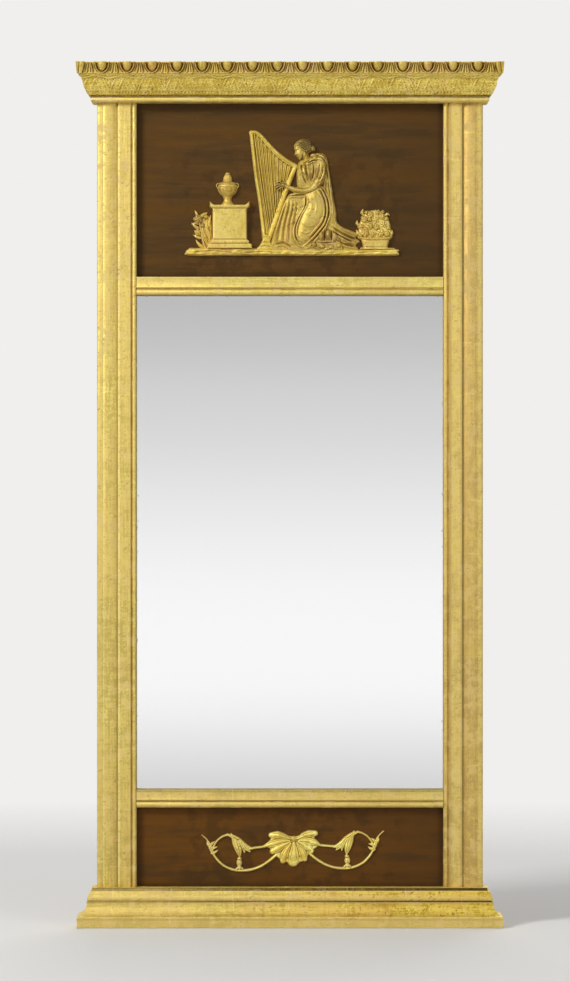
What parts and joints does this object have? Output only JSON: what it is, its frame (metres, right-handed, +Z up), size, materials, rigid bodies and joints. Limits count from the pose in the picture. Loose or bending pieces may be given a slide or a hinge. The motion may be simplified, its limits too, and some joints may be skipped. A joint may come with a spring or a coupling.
{
  "type": "pier mirror",
  "caption": "Tall gilded wall mirror with an egg-and-dart cornice, stepped base, relief panel above the glass, scroll panel below, and swinging hanger rings behind.",
  "frame": {"origin": "on the wall plane, in the middle of the width, at the underside of the base", "axes": "+Z up, +Y from the front towards the wall, +X to the right seen from the front"},
  "size_m": [0.594, 0.0665, 1.2],
  "materials": {
    "gilt_wood": "water gilding on white gesso and warm bole, gently rubbed",
    "gilt_ornament": "oil gilding on cast composition, dark in the hollows",
    "painted_panel": "brown paint with a faint horizontal grain",
    "bare_pine": "unfinished old softwood",
    "mirror_glass": "clear plate glass",
    "silvering": "bright tin foil silvering behind the glass",
    "hanger_brass": "dull tarnished sheet and wire",
    "screw_steel": "dull slotted steel",
    "nail_iron": "dark hand-made iron"
  },
  "bodies": {
    "frame": {"left_stile": "bare_pine", "right_stile": "bare_pine", "top_rail": "bare_pine", "upper_cross_rail": "bare_pine", "lower_cross_rail": "bare_pine", "bottom_rail": "bare_pine", "joint_pegs": "bare_pine", "cornice_core": "gilt_wood", "egg_band_front": "gilt_wood", "egg_band_left": "gilt_wood", "egg_band_right": "gilt_wood", "cornice_cyma_front": "gilt_wood", "cornice_cyma_left": "gilt_wood", "cornice_cyma_right": "gilt_wood", "neck_bead_front": "gilt_wood", "neck_bead_left": "gilt_wood", "neck_bead_right": "gilt_wood", "base_core": "gilt_wood", "base_moulding_front": "gilt_wood", "base_moulding_left": "gilt_wood", "base_moulding_right": "gilt_wood", "left_outer_moulding": "gilt_wood", "right_outer_moulding": "gilt_wood", "left_inner_moulding": "gilt_wood", "right_inner_moulding": "gilt_wood", "upper_crossbar": "gilt_wood", "lower_crossbar": "gilt_wood", "upper_panel": "painted_panel", "lower_panel": "painted_panel", "panel_glue_blocks": "bare_pine", "mirror_glass": "mirror_glass", "silvering": "silvering", "glass_glue_blocks": "bare_pine", "back_plank_left": "bare_pine", "back_plank_middle": "bare_pine", "back_plank_right": "bare_pine", "backboard_nails": "nail_iron", "relief_ground": "gilt_ornament", "altar": "gilt_ornament", "altar_urn": "gilt_ornament", "altar_plant": "gilt_ornament", "harp": "gilt_ornament", "harpist": "gilt_ornament", "flower_basket": "gilt_ornament", "basket_flowers": "gilt_ornament", "shell": "gilt_ornament", "left_scroll": "gilt_ornament", "right_scroll": "gilt_ornament", "left_hanger_strap": "hanger_brass", "right_hanger_strap": "hanger_brass", "left_hanger_screws": "screw_steel", "right_hanger_screws": "screw_steel"},
    "left_ring": {"left_ring": "hanger_brass"},
    "right_ring": {"right_ring": "hanger_brass"}
  },
  "joints": [
    {"name": "left_ring_swing", "type": "hinge", "parent": "frame", "child": "left_ring", "pos_m": [-0.15, -0.00522, 1.167], "axis": [1, 0, 0], "range_deg": [0, 176]},
    {"name": "right_ring_swing", "type": "hinge", "parent": "frame", "child": "right_ring", "pos_m": [0.15, -0.00522, 1.167], "axis": [1, 0, 0], "range_deg": [0, 176]}
  ]
}
